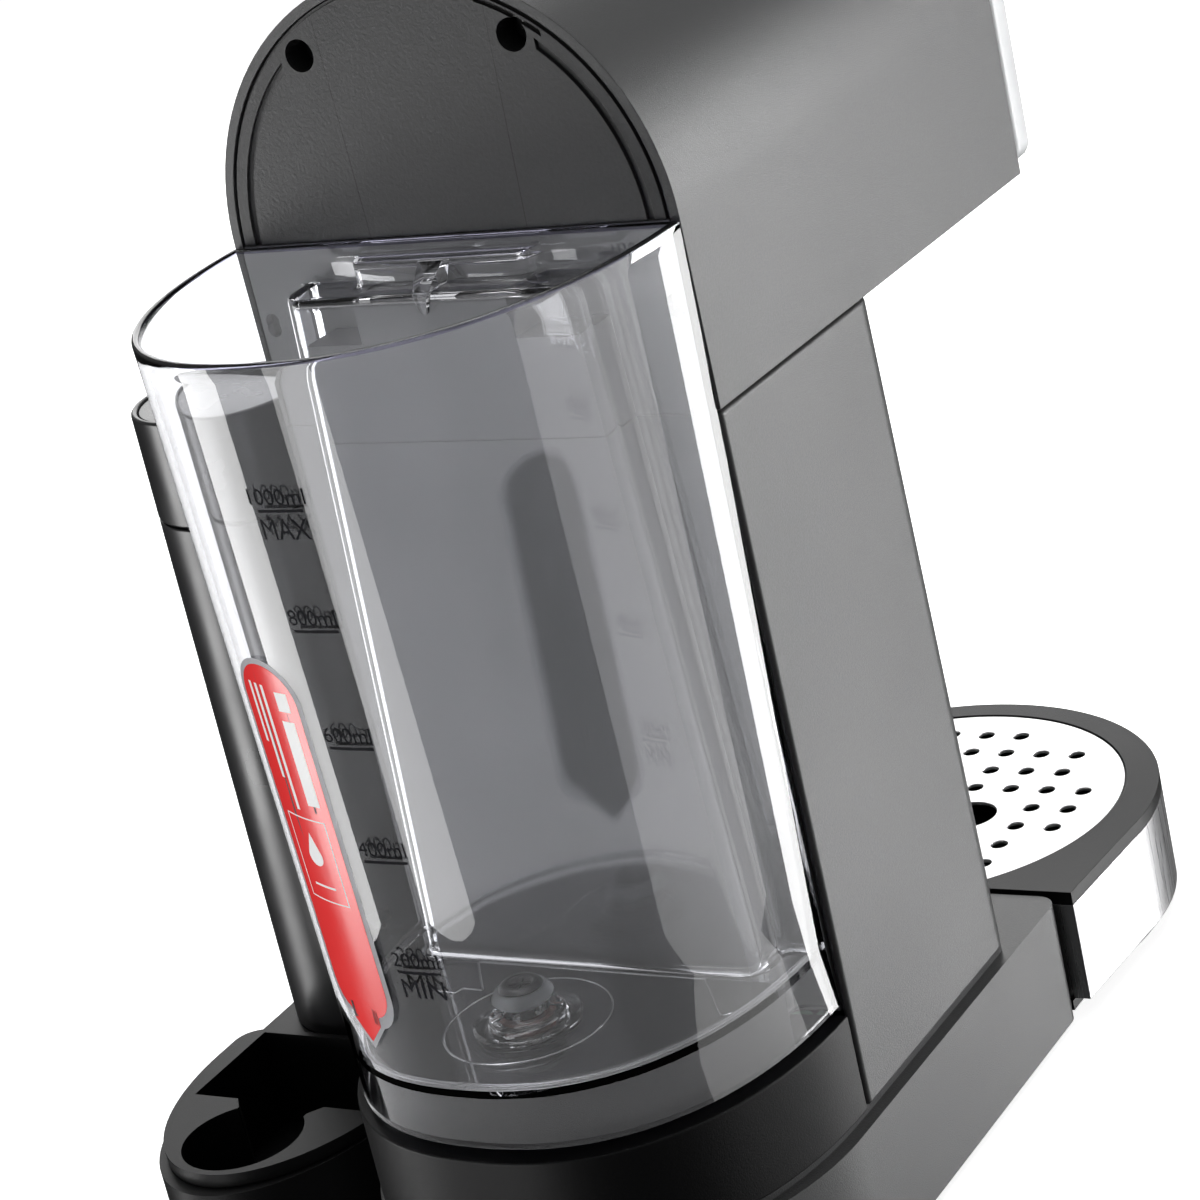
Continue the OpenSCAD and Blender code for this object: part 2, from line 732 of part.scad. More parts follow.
module tank_shell() color([0.86, 0.88, 0.95, 0.35]) place() difference() {
  tank_outer(0);
  difference() {
    tank_inside();
    recess_prism(recess_wall, recess_y, skirt_z - 1, recess_top);
    block([-25, 0, recess_top - 2], [25, 9, recess_top + 6]);
  }
  recess_prism(0, recess_y - recess_wall, skirt_z - 2, recess_top - recess_wall);
  tank_under();
  post(10.1, tank_floor_z - tank_wall - 1, tank_floor_z + 1, 0, valve_y);
}

// The label's outline: a round top, straight sides and an arrow tip that points down
label_points = concat(
  arc(label_x, label_top - label_r, label_r, 0, 180, 12),
  [for (side = [-1, 1]) each [for (p = side < 0 ? label_foot : reverse(label_foot))
    [label_x + side * p[0], label_tip + p[1]]]]);

function reverse(list) = [for (i = [len(list) - 1:-1:0]) list[i]];

module tank_label() color("#d8262c") place() difference() {
  intersection() {
    tank_outer(label_t);
    translate([0, rim_d + 6, 0]) rotate([90, 0, 0]) linear_extrude(60) polygon(label_points);
  }
  tank_outer(0);
}

module valve_body() color([0.9, 0.92, 0.95, 0.5]) place() difference() {
  union() {
    post(10, tank_floor_z - 8.1, 88, 0, valve_y);
    post(13.8, tank_floor_z + gap, 86.5, 0, valve_y);
  }
  post(6.4, tank_floor_z - 9, 87, 0, valve_y);
  post(valve_bore_r, tank_floor_z - 9, 89, 0, valve_y);
}

module valve_plunger() color("#101113") place() union() {
  post(5.5, 94.1, 95.6, 0, valve_y);
  post(4.4, 90, 94.2, 0, valve_y);
  post(2, 76, 90, 0, valve_y);
  post(4.6, 76, 77.5, 0, valve_y);
}

module plunger_seal() color("#dcdcd6") place() difference() {
  post(7.8, 90.2, 94, 0, valve_y);
  post(4.5, 90, 95, 0, valve_y);
}

// A ring of points of a helical wire at one turn angle
function coil_ring(coil_r, wire_r, height, turn, turns) = [for (k = [0:5])
  let (rr = coil_r + wire_r * cos(60 * k))
  [rr * cos(turn), rr * sin(turn), height * turn / (360 * turns) + wire_r * sin(60 * k)]];

module coil(coil_r, wire_r, height, turns) {
  rings = turns * 16;
  points = [for (i = [0:rings]) each coil_ring(coil_r, wire_r, height, 360 * i / 16, turns)];
  sides = [for (i = [0:rings - 1]) for (k = [0:5])
    [6 * i + k, 6 * i + (k + 1) % 6, 6 * (i + 1) + (k + 1) % 6, 6 * (i + 1) + k]];
  last = [for (k = [0:5]) 6 * rings + k];
  polyhedron(points, concat([[5, 4, 3, 2, 1, 0]], sides, [last]), convexity = 10);
}

module valve_spring() color("#c8cacc") place() translate([0, valve_y, 78.1]) coil(3.6, 0.4, 9.8, 4);

// ---- Drip tray ----

module tray_slab(inset, z0, z1) {
  post(tray_r - inset, z0, z1, 0, -tray_y);
  translate([0, 0, z0]) linear_extrude(z1 - z0) polygon([
    [inset - tray_r, -tray_y], [tray_r - inset, -tray_y],
    [tray_rear_half_w - inset, tray_rear - inset], [inset - tray_rear_half_w, tray_rear - inset]]);
}

module tray_front_only(z0, z1) block([-tray_r - 1, -tray_y - tray_r - 1, z0], [tray_r + 1, tray_rear, z1]);

module grate_front_only(rear) block([-tray_r, -tray_y - tray_r, 0], [tray_r, rear, tray_top + 2]);

module tray_basin() color("#1e1f21") place() intersection() {
  difference() {
    union() {
      tray_slab(band_t + 0.2, tray_foot, band_top + 0.2);
      tray_slab(0, band_top + 0.2, tray_top);
    }
    difference() {
      tray_slab(band_t + 0.2 + basin_wall, tray_foot + basin_wall, band_top - 1);
      block([-80, tray_rear - basin_wall - 1, 0], [80, tray_rear + 80, tray_top]);
    }
    difference() {
      post(grate_r - 3.5, band_top - 2, tray_top + 1, 0, grate_y);
      block([-80, tray_rear - basin_wall - 1, 0], [80, tray_rear + 80, tray_top + 2]);
    }
    intersection() {
      post(grate_r + 0.4, grate_top - grate_t, tray_top + 1, 0, grate_y);
      grate_front_only(grate_rear + 0.3);
    }
  }
  tray_front_only(0, tray_top + 1);
}

module tray_band() color("#c4c6c8") place() difference() {
  intersection() {
    tray_slab(0, tray_foot, band_top);
    tray_front_only(0, tray_top);
  }
  tray_slab(band_t, tray_foot - 1, band_top + 1);
  block([-60, tray_rear - 3, 0], [60, tray_rear + 5, tray_top]);
}

// Whether a drain hole clears the grate's rim and the finger holes
function drain_fits(x, y) =
  norm([x, y]) < grate_r - 9 && norm([abs(x) - finger_x, y - finger_y]) > finger_r + 2;

module tray_grate() color("#e6e7e8") place() difference() {
  intersection() {
    post(grate_r, grate_top - grate_t, grate_top, 0, grate_y);
    grate_front_only(grate_rear);
  }
  for (i = [-drain_cells:drain_cells]) for (j = [-drain_cells:drain_cells])
    if (drain_fits(i * drain_pitch, j * drain_pitch))
      post(drain_r, grate_top - 2, grate_top + 1, i * drain_pitch, grate_y + j * drain_pitch);
  for (x = [-finger_x, finger_x]) post(finger_r, grate_top - 2, grate_top + 1, x, grate_y + finger_y);
}

// ---- Dock ----

// The dock's outline: straight sides, a half ellipse at the rear and rounded corners at the front
function dock_points(inset, depth, front, corner) = concat(
  [for (p = d_points(dock_right - dock_mid_x - inset, depth - inset, 0, 2))
    [p[0] + dock_mid_x, p[1] + dock_rear_y]],
  arc(2 * dock_mid_x - dock_right + corner, front + corner, corner - inset, 180, 270),
  arc(dock_right - corner, front + corner, corner - inset, 270, 360));

// The keyhole: a rectangular pocket joined to a round hole by a tapered throat
module keyhole(grow, z0, z1) {
  block([pocket[0] - grow, pocket[1] - grow, z0], [pocket[2] + grow, pocket[3] + grow, z1]);
  post(dock_hole_r + grow, z0, z1, dock_mid_x, dock_hole_y);
  translate([0, 0, z0]) linear_extrude(z1 - z0) polygon([
    [throat[0] - grow, pocket[3] - 1], [throat[3] + grow, pocket[3] - 1],
    [throat[2] + grow, pocket[3] + 4], [throat[2] + grow, pocket[3] + 8],
    [throat[1] - grow, pocket[3] + 8], [throat[1] - grow, pocket[3] + 4]]);
}

module dock_housing() color("#232426") place() difference() {
  linear_extrude(dock_top) polygon(dock_points(0, dock_depth, dock_front, 20));
  difference() {
    translate([0, 0, wall]) linear_extrude(dock_top - 2 * wall)
      polygon(dock_points(wall, dock_depth, dock_front, 20));
    keyhole(tub_wall + 2.5, wall - 1, pocket_floor - tub_wall - 0.3);
  }
  keyhole(tub_wall + 0.3, pocket_floor - tub_wall - 0.3, dock_top + 1);
}

module dock_plate() color("#1f2022") place() difference() {
  union() {
    translate([0, 0, dock_top + gap]) linear_extrude(plate_top - dock_top - gap)
      polygon(dock_points(0.6, plate_depth, plate_front, 8));
    keyhole(tub_wall, pocket_floor - tub_wall, dock_top + 1);
  }
  keyhole(0, pocket_floor, plate_top + 1);
}

// ---- Frother wand in its storage tube ----

module wand_place() place() translate([wand_x, wand_y, 0]) children();

module wand_tube() color("#222325") wand_place() difference() {
  post(tube_r, dock_top + gap, tube_top);
  post(tube_r - 1.8, dock_top + 3, tube_top + 1);
}

module wand_handle() color("#27282a") wand_place() difference() {
  union() {
    post(tube_r, tube_top + 0.4, wand_top);
    post(tube_r - 2.2, wand_foot, tube_top + 1);
  }
  post(tube_r - 4.4, wand_foot + wand_floor, wand_top - key_depth - 2);
  post(shaft_r + 0.05, wand_foot - 1, wand_foot + wand_floor + 1);
  post(tube_r - 1.8, wand_top - key_depth, wand_top + 1);
  post(4.4, wand_top - key_depth - 3, wand_top - key_depth + 1);
}

module wand_button() color("#303235") wand_place() union() {
  post(tube_r - 1.8 - key_gap, wand_top - 3.5, wand_top - 0.6);
  post(4, wand_top - 8, wand_top - 3);
}

module wand_motor() color("#a9acae") wand_place() difference() {
  post(12, wand_foot + wand_floor + 0.5, 158);
  post(shaft_r + 0.05, wand_foot, 146);
}

module wand_cells() color("#b99a4e") wand_place() for (x = [-5.6, 5.6]) union() {
  post(5.2, 166, 208.5, x, 0);
  post(2, 208, 210, x, 0);
}

module whisk() color("#d5d7d9") wand_place() {
  post(shaft_r, whisk_z - 1, 145);
  translate([0, 0, whisk_z]) rotate_extrude() translate([whisk_r, 0]) circle(r = 1, $fn = 24);
  rod_x(0.9, -whisk_r, whisk_r, 0, whisk_z);
}

base_housing();
base_plate();
rubber_feet();
base_screws();
cord_gland();
pedestal_shell();
inlet_socket();
inlet_seal();
column_shell();
rear_panel();
head_shell();
head_underside();
rear_cover();
rear_cover_screws();
front_bezel();
front_panel();
status_lens();
power_button();
small_cup_button();
large_cup_button();
tact_switches();
control_board();
power_board();
pump();
pump_mounts();
pump_bracket();
suction_hose();
pressure_hose();
heater_bracket();
heating_block();
thermostats();
hot_water_hose();
water_port();
pod_chamber();
pod_holder();
lower_needle();
spout();
brew_lid();
lid_liner();
upper_needle();
pod_seal();
lid_grip();
hinge_pin();
tank_shell();
tank_label();
valve_body();
valve_plunger();
plunger_seal();
valve_spring();
tray_basin();
tray_band();
tray_grate();
dock_housing();
dock_plate();
wand_tube();
wand_handle();
wand_button();
wand_motor();
wand_cells();
whisk();
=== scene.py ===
"""A pod coffee machine: clear rear tank, round head, drip tray and a side dock with a wand."""

import json
import math

import bmesh
import bpy
from mathutils import Matrix, Vector


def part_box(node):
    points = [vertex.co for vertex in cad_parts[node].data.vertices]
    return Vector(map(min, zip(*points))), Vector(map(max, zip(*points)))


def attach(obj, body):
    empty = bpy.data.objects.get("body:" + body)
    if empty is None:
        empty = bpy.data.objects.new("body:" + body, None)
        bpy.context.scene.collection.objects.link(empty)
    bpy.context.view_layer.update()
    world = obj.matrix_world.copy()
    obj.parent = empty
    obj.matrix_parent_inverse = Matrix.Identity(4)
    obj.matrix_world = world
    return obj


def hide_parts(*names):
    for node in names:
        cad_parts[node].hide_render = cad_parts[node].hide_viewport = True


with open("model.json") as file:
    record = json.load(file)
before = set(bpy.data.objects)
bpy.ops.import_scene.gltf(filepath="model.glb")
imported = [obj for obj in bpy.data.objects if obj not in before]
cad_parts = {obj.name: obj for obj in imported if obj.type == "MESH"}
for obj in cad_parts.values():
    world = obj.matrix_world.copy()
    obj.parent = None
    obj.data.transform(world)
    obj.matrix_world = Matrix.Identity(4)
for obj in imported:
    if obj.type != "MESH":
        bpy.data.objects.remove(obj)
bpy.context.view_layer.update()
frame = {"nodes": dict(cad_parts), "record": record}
NODES = frame["nodes"]
MM = 0.001

# ---- The machine's own axes, read from the frame -------------------------------------------
# Places below are in millimetres from the middle of the column's rear face, at the height of
# the base's bottom edge: x towards the dock, y towards the tank, z up.
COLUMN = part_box("column_shell")
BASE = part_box("base_housing")
ORIGIN = Vector(((COLUMN[0].x + COLUMN[1].x) / 2, COLUMN[1].y, BASE[0].z))


def at(x, y, z):
    """A place in the machine's millimetres as a point of the frame."""
    return ORIGIN + Vector((x, y, z)) * MM


def span(node):
    """A node's lowest and highest corner in the machine's millimetres."""
    low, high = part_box(node)
    return (low - ORIGIN) / MM, (high - ORIGIN) / MM


# ---- Shader helpers --------------------------------------------------------------------------

def new_material(name, **values):
    """A Principled material with plain values set on its own sockets."""
    material = bpy.data.materials.new(name)
    material.use_nodes = True
    shader = material.node_tree.nodes["Principled BSDF"]
    for key, value in values.items():
        socket = shader.inputs[key.replace("_", " ")]
        socket.default_value = (*value, 1.0) if isinstance(value, tuple) else value
    return material, material.node_tree, shader


def texture(tree, kind, scale, **values):
    """A texture in object coordinates; scale counts features per metre."""
    node = tree.nodes.new(kind)
    coords = tree.nodes.new("ShaderNodeTexCoord")
    tree.links.new(coords.outputs["Object"], node.inputs["Vector"])
    node.inputs["Scale"].default_value = scale
    for key, value in values.items():
        node.inputs[key].default_value = value
    return node


def stretch(tree, node, scale):
    """Puts a stretch between a texture and its coordinates."""
    link = node.inputs["Vector"].links[0]
    mapping = tree.nodes.new("ShaderNodeMapping")
    mapping.inputs["Scale"].default_value = scale
    tree.links.new(link.from_socket, mapping.inputs["Vector"])
    tree.links.new(mapping.outputs["Vector"], node.inputs["Vector"])


def ramp(tree, source, low, high, to_low, to_high):
    """Maps a value from one range to another."""
    node = tree.nodes.new("ShaderNodeMapRange")
    tree.links.new(source, node.inputs["Value"])
    for key, value in (("From Min", low), ("From Max", high), ("To Min", to_low), ("To Max", to_high)):
        node.inputs[key].default_value = value
    return node.outputs["Result"]


def mix(tree, factor, first, second):
    """Mixes two plain colours by a varying factor."""
    node = tree.nodes.new("ShaderNodeMix")
    node.data_type = "RGBA"
    tree.links.new(factor, node.inputs["Factor"])
    node.inputs["A"].default_value = (*first, 1)
    node.inputs["B"].default_value = (*second, 1)
    return node.outputs["Result"]


def vary_roughness(tree, shader, pattern, smooth, rough):
    """Lets a pattern vary the roughness between two values."""
    tree.links.new(ramp(tree, pattern, 0.3, 0.7, smooth, rough), shader.inputs["Roughness"])


def bump(tree, shader, height, strength, distance):
    """Raises the surface by a pattern; distance is its depth in metres."""
    node = tree.nodes.new("ShaderNodeBump")
    node.inputs["Strength"].default_value = strength
    node.inputs["Distance"].default_value = distance
    tree.links.new(height, node.inputs["Height"])
    tree.links.new(node.outputs["Normal"], shader.inputs["Normal"])


def grained_plastic(name, dark, light, rough, grain, depth, gloss=0.45):
    """Moulded plastic with a spark-eroded grain of the given number of features per metre."""
    material, tree, shader = new_material(name, Roughness=rough, Specular_IOR_Level=gloss)
    noise = texture(tree, "ShaderNodeTexNoise", grain, Detail=3.0, Roughness=0.65)
    broad = texture(tree, "ShaderNodeTexNoise", 9.0, Detail=2.0)
    tree.links.new(mix(tree, noise.outputs["Fac"], dark, light), shader.inputs["Base Color"])
    vary_roughness(tree, shader, broad.outputs["Fac"], rough - 0.04, rough + 0.05)
    bump(tree, shader, noise.outputs["Fac"], 0.55, depth)
    return material


def smooth_plastic(name, colour, rough):
    """Smooth plastic with faint handling marks in its gloss."""
    material, tree, shader = new_material(name, Base_Color=colour)
    noise = texture(tree, "ShaderNodeTexNoise", 40.0, Detail=4.0)
    fine = texture(tree, "ShaderNodeTexNoise", 1800.0, Detail=2.0)
    vary_roughness(tree, shader, noise.outputs["Fac"], rough * 0.85, rough * 1.2)
    bump(tree, shader, fine.outputs["Fac"], 0.12, 0.00003)
    return material


def brushed_metal(name, colour, rough, along):
    """Metal with fine brush lines; along is the stretch of the lines on each axis."""
    material, tree, shader = new_material(name, Base_Color=colour, Metallic=1.0)
    lines = texture(tree, "ShaderNodeTexNoise", 1500.0, Detail=3.0, Roughness=0.6)
    stretch(tree, lines, along)
    vary_roughness(tree, shader, lines.outputs["Fac"], rough - 0.08, rough + 0.1)
    bump(tree, shader, lines.outputs["Fac"], 0.25, 0.00004)
    return material


def clear_plastic(name, tint, rough=0.008):
    """Clear moulded plastic with the slight waviness of its skin."""
    material, tree, shader = new_material(name, Base_Color=tint, Transmission_Weight=1.0, IOR=1.49)
    waves = texture(tree, "ShaderNodeTexNoise", 26.0, Detail=1.0)
    stretch(tree, waves, (1.0, 1.0, 0.12))
    vary_roughness(tree, shader, waves.outputs["Fac"], rough, rough * 2.0)
    bump(tree, shader, waves.outputs["Fac"], 0.012, 0.0006)
    return material


def soft_rubber(name, colour, rough):
    """Matt rubber or silicone with a fine tooth."""
    material, tree, shader = new_material(name, Base_Color=colour)
    noise = texture(tree, "ShaderNodeTexNoise", 900.0, Detail=2.0)
    vary_roughness(tree, shader, noise.outputs["Fac"], rough - 0.08, rough + 0.08)
    bump(tree, shader, noise.outputs["Fac"], 0.2, 0.00005)
    return material


CHARCOAL = grained_plastic("charcoal_shell", (0.028, 0.0285, 0.029), (0.075, 0.0757, 0.077),
                           0.33, 2600, 0.00016)
BLACK = grained_plastic("black_shell", (0.0015, 0.0015, 0.0017), (0.006, 0.006, 0.0065),
                        0.40, 2300, 0.00009, 0.2)
PANEL = smooth_plastic("charcoal_panel", (0.1, 0.101, 0.106), 0.42)
LEATHERY = grained_plastic("leathery_cover", (0.017, 0.0172, 0.0175), (0.03, 0.0303, 0.031),
                           0.42, 900, 0.00022)
SATIN = smooth_plastic("satin_black", (0.013, 0.013, 0.014), 0.3)
GLOSS = smooth_plastic("panel_black", (0.004, 0.004, 0.005), 0.08)
SILVER = smooth_plastic("silver_trim", (0.62, 0.63, 0.64), 0.34)
BAND = brushed_metal("band_steel", (0.33, 0.33, 0.335), 0.3, (1.0, 1.0, 0.02))
GRATE = brushed_metal("grate_steel", (0.86, 0.86, 0.86), 0.42, (0.03, 1.0, 1.0))
STEEL = brushed_metal("steel_parts", (0.6, 0.6, 0.6), 0.3, (1.0, 1.0, 0.2))
CLEAR = clear_plastic("clear_tank", (0.972, 0.976, 0.998))
CLEAR_VALVE = clear_plastic("clear_valve", (0.97, 0.975, 0.99))
RUBBER = soft_rubber("rubber_black", (0.02, 0.02, 0.02), 0.6)
SILICONE = soft_rubber("silicone_clear", (0.62, 0.63, 0.62), 0.35)
SEAL_RED = soft_rubber("silicone_red", (0.3, 0.07, 0.04), 0.45)
BOARD = smooth_plastic("board_green", (0.01, 0.11, 0.04), 0.4)
ALUMINIUM = grained_plastic("heater_alu", (0.4, 0.4, 0.41), (0.55, 0.55, 0.56), 0.5, 500, 0.0002)
PUMP = smooth_plastic("pump_body", (0.55, 0.53, 0.47), 0.4)
CERAMIC = grained_plastic("ceramic_white", (0.6, 0.58, 0.5), (0.7, 0.68, 0.6), 0.6, 900, 0.0001)
CELLS = smooth_plastic("cell_wrap", (0.4, 0.25, 0.06), 0.3)
LENS = smooth_plastic("status_white", (0.75, 0.8, 0.86), 0.2)
EDGE_TINT = clear_plastic("clear_edge", (0.42, 0.40, 0.62), 0.05)
MILKY = clear_plastic("milky_ring", (0.72, 0.74, 0.76), 0.35)
FILM = clear_plastic("label_film", (0.62, 0.62, 0.65), 0.3)
RED = smooth_plastic("red_label", (0.86, 0.035, 0.035), 0.22)
LABEL_BACK = smooth_plastic("label_back", (0.022, 0.014, 0.02), 0.5)
WHITE_INK = smooth_plastic("white_ink", (0.85, 0.85, 0.85), 0.4)
GREY_INK = grained_plastic("grey_ink", (0.008, 0.008, 0.01), (0.02, 0.02, 0.024), 0.6, 3000, 0.00002, 0.05)

BY_SLOT = {
    "charcoal_shell": CHARCOAL, "black_shell": BLACK, "satin_black": SATIN, "panel_black": GLOSS,
    "silver_trim": SILVER, "band_steel": BAND, "grate_steel": GRATE, "steel_parts": STEEL,
    "clear_tank": CLEAR, "clear_valve": CLEAR_VALVE, "status_white": LENS, "rubber_black": RUBBER,
    "silicone_clear": SILICONE, "silicone_red": SEAL_RED, "board_green": BOARD,
    "red_label": RED, "heater_alu": ALUMINIUM, "pump_body": PUMP, "ceramic_white": CERAMIC,
    "cell_wrap": CELLS,
}


def paint(obj, material):
    """Gives a piece one material."""
    obj.data.materials.clear()
    obj.data.materials.append(material)


# ---- CAD nodes: materials and broken edges ------------------------------------------------------

def soften(obj, width, segments=3):
    """Joins a node's coplanar triangles, then rounds its sharp edges and keeps curved faces smooth."""
    weld = obj.modifiers.new("weld", "WELD")
    weld.merge_threshold = 0.00002
    flat = obj.modifiers.new("flat", "DECIMATE")
    flat.decimate_type = "DISSOLVE"
    flat.angle_limit = math.radians(0.5)
    bevel = obj.modifiers.new("bevel", "BEVEL")
    bevel.width = width
    bevel.segments = segments
    bevel.limit_method = "ANGLE"
    bevel.angle_limit = math.radians(35)
    bevel.harden_normals = True
    for polygon in obj.data.polygons:
        polygon.use_smooth = True
    normals = obj.modifiers.new("normals", "WEIGHTED_NORMAL")
    normals.keep_sharp = True


PLAIN_EDGE = 0.0003
EDGE = {
    "head_shell": 0.0012, "column_shell": 0.0015, "base_housing": 0.0014, "pedestal_shell": 0.0012,
    "dock_housing": 0.0014, "dock_plate": 0.0008, "front_bezel": 0.002, "wand_handle": 0.001,
    "wand_tube": 0.0005, "brew_lid": 0.0008, "tray_basin": 0.0008, "lid_grip": 0.0012,
}
for entry in frame["record"]["subparts"]:
    node = NODES[entry["node"]]
    slot = entry["material_slot"]
    if slot in BY_SLOT:
        paint(node, BY_SLOT[slot])
    soften(node, EDGE.get(entry["node"], PLAIN_EDGE))

# The cover and the panel behind the tank have finishes of their own.
paint(NODES["rear_cover"], LEATHERY)
paint(NODES["rear_panel"], PANEL)


def calculate(tree, operation, first, second):
    """A math node on a link and either a link or a number."""
    node = tree.nodes.new("ShaderNodeMath")
    node.operation = operation
    tree.links.new(first, node.inputs[0])
    if isinstance(second, (int, float)):
        node.inputs[1].default_value = second
    else:
        tree.links.new(second, node.inputs[1])
    return node.outputs["Value"]


def paint_parting_line_shade(material, foot_x, head_x, foot_z, head_z, width):
    """Paints the shade of two thin parting grooves as dark lines that lean outward, at equal distances
    from the middle.
    """
    tree = material.node_tree
    shader = tree.nodes["Principled BSDF"]
    coords = tree.nodes.new("ShaderNodeTexCoord")
    split = tree.nodes.new("ShaderNodeSeparateXYZ")
    tree.links.new(coords.outputs["Object"], split.inputs["Vector"])
    slope = (head_x - foot_x) / (head_z - foot_z)
    foot = at(foot_x, 0, foot_z)
    across = calculate(tree, "ABSOLUTE", calculate(tree, "SUBTRACT", split.outputs["X"], ORIGIN.x), 0)
    lean = calculate(tree, "MULTIPLY", calculate(tree, "SUBTRACT", split.outputs["Z"], foot.z), slope)
    away = calculate(tree, "ABSOLUTE", calculate(tree, "SUBTRACT", across, lean), 0)
    away = calculate(tree, "ABSOLUTE", calculate(tree, "SUBTRACT", away, foot_x * MM), 0)
    line = calculate(tree, "LESS_THAN", away, width * MM / 2)
    plain = shader.inputs["Base Color"].links[0].from_socket
    painted_groove_shade = tree.nodes.new("ShaderNodeMix")
    painted_groove_shade.data_type = "RGBA"
    tree.links.new(line, painted_groove_shade.inputs["Factor"])
    tree.links.new(plain, painted_groove_shade.inputs["A"])
    # Near-black: painted shade of a groove, standing in for a real slit.
    painted_groove_shade.inputs["B"].default_value = (0.006, 0.006, 0.006, 1)
    tree.links.new(painted_groove_shade.outputs["Result"], shader.inputs["Base Color"])


# Painted groove shade along the rear cover's two parting lines.
paint_parting_line_shade(LEATHERY, foot_x=22.5, head_x=24.4, foot_z=272.9, head_z=330.0, width=0.3)


# ---- Mesh helpers -----------------------------------------------------------------------------

def build(name, body, material, fill, smooth_angle=30.0, bevel=0.0, segments=3):
    """Makes a piece from fill(bm), in the machine's millimetres, and rides it on a CAD body."""
    bm = bmesh.new()
    fill(bm)
    bmesh.ops.remove_doubles(bm, verts=bm.verts, dist=0.002)
    bmesh.ops.recalc_face_normals(bm, faces=bm.faces)
    mesh = bpy.data.meshes.new(name)
    for vert in bm.verts:
        vert.co = ORIGIN + vert.co * MM
    bm.to_mesh(mesh)
    bm.free()
    obj = bpy.data.objects.new(name, mesh)
    bpy.context.scene.collection.objects.link(obj)
    for polygon in mesh.polygons:
        polygon.use_smooth = True
    mesh.set_sharp_from_angle(angle=math.radians(smooth_angle))
    if bevel:
        edge = obj.modifiers.new("bevel", "BEVEL")
        edge.width = bevel * MM
        edge.segments = segments
        edge.limit_method = "ANGLE"
        edge.angle_limit = math.radians(smooth_angle)
        edge.harden_normals = True
    paint(obj, material)
    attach(obj, body)
    return obj


def ring_of(bm, points):
    """New vertices at the given points."""
    return [bm.verts.new(p) for p in points]


def skin(bm, rings, closed=True):
    """Quads between rings that have the same number of points."""
    for one, two in zip(rings, rings[1:]):
        count = len(one)
        for i in range(count if closed else count - 1):
            j = (i + 1) % count
            bm.faces.new((one[i], one[j], two[j], two[i]))


def cap(bm, ring):
    """Closes a ring with one face."""
    bm.faces.new(ring)


def lathe(bm, profile, centre, steps=96):
    """Turns a profile of (radius, height) about the upright axis through centre."""
    x0, y0 = centre
    rings = []
    for i in range(steps):
        angle = 2 * math.pi * i / steps
        c, s = math.cos(angle), math.sin(angle)
        rings.append(ring_of(bm, [(x0 + r * c, y0 + r * s, h) for r, h in profile]))
    skin(bm, rings + [rings[0]], closed=False)


def circle_points(centre, radius, steps, count):
    """The first count of steps points round a circle."""
    x0, y0 = centre
    angles = [2 * math.pi * i / steps for i in range(count)]
    return [(x0 + radius * math.cos(a), y0 + radius * math.sin(a)) for a in angles]


TANK_POWER = 2.29


def d_curve(half_width, depth, y0, steps=96):
    """The tank's D: a superellipse from (half_width, y0) round to (-half_width, y0)."""
    points = []
    for i in range(steps + 1):
        angle = math.pi * i / steps
        c, s = math.cos(angle), math.sin(angle)
        x = math.copysign(abs(c) ** (2 / TANK_POWER), c) * half_width
        points.append((x, y0 + (depth - y0) * max(s, 0.0) ** (2 / TANK_POWER)))
    return points


# ---- Water tank ---------------------------------------------------------------------------------

TANK_LOW, TANK_HIGH = span("tank_shell")
RIM_Z, SKIRT_Z = TANK_HIGH.z, TANK_LOW.z
RIM_HALF, RIM_DEPTH = TANK_HIGH.x, TANK_HIGH.y
SKIRT_HEIGHT = 16.0
FLOOR_Z = SKIRT_Z + SKIRT_HEIGHT
FLOOR_HALF, FLOOR_DEPTH = RIM_HALF - 3.0, RIM_DEPTH - 9.3
SKIRT_HALF, SKIRT_DEPTH = RIM_HALF - 2.0, RIM_DEPTH - 10.4
TANK_FRONT = TANK_LOW.y
TANK_WALL = 2.2
VALVE = (span("valve_body")[0] + span("valve_body")[1]) / 2
RECESS_TOP = RIM_Z - 9.4
STEP_TOP = RIM_Z - 3.2
RECESS_Y = 16.2
STEP_Y = 8.5
STEP_HALF = 25.0
RECESS_HALF_TOP, RECESS_HALF_FOOT = 42.0, 50.0
CORNER = 5.0


def tank_size(z):
    """Half width and depth of the tank's outside at a height."""
    if z >= FLOOR_Z:
        t = (z - FLOOR_Z) / (RIM_Z - FLOOR_Z)
        return FLOOR_HALF + (RIM_HALF - FLOOR_HALF) * t, FLOOR_DEPTH + (RIM_DEPTH - FLOOR_DEPTH) * t
    t = (z - SKIRT_Z) / (FLOOR_Z - SKIRT_Z)
    return SKIRT_HALF + (FLOOR_HALF - SKIRT_HALF) * t, SKIRT_DEPTH + (FLOOR_DEPTH - SKIRT_DEPTH) * t


def recess_half(z):
    """Half the recess's width at a height; it narrows upward."""
    t = (z - FLOOR_Z) / (RECESS_TOP - FLOOR_Z)
    return RECESS_HALF_FOOT + (RECESS_HALF_TOP - RECESS_HALF_FOOT) * max(0.0, min(1.0, t))


def rounded_corner(x, y, radius, start, end, steps=6):
    """Points of a quarter round about (x, y)."""
    angles = [math.radians(start + (end - start) * i / steps) for i in range(steps + 1)]
    return [(x + radius * math.cos(a), y + radius * math.sin(a)) for a in angles]


def front_path(half, depth, flat_y, corner):
    """The front wall from -x to +x with a box recess of the given depth; every z gives the same count."""
    foot = 3.0
    side = []
    side += rounded_corner(-half - foot, flat_y + foot, foot, -90, 0)
    side += rounded_corner(-half + corner, depth - corner, corner, 180, 90)
    near_step = [(-STEP_HALF + shift, depth) for shift in (-2.0, -1.2, 0.0, 1.2, 2.0)]
    left = side + near_step + [(-6.0, depth), (-2.0, depth)]
    return left + [(-x, y) for x, y in reversed(left)]


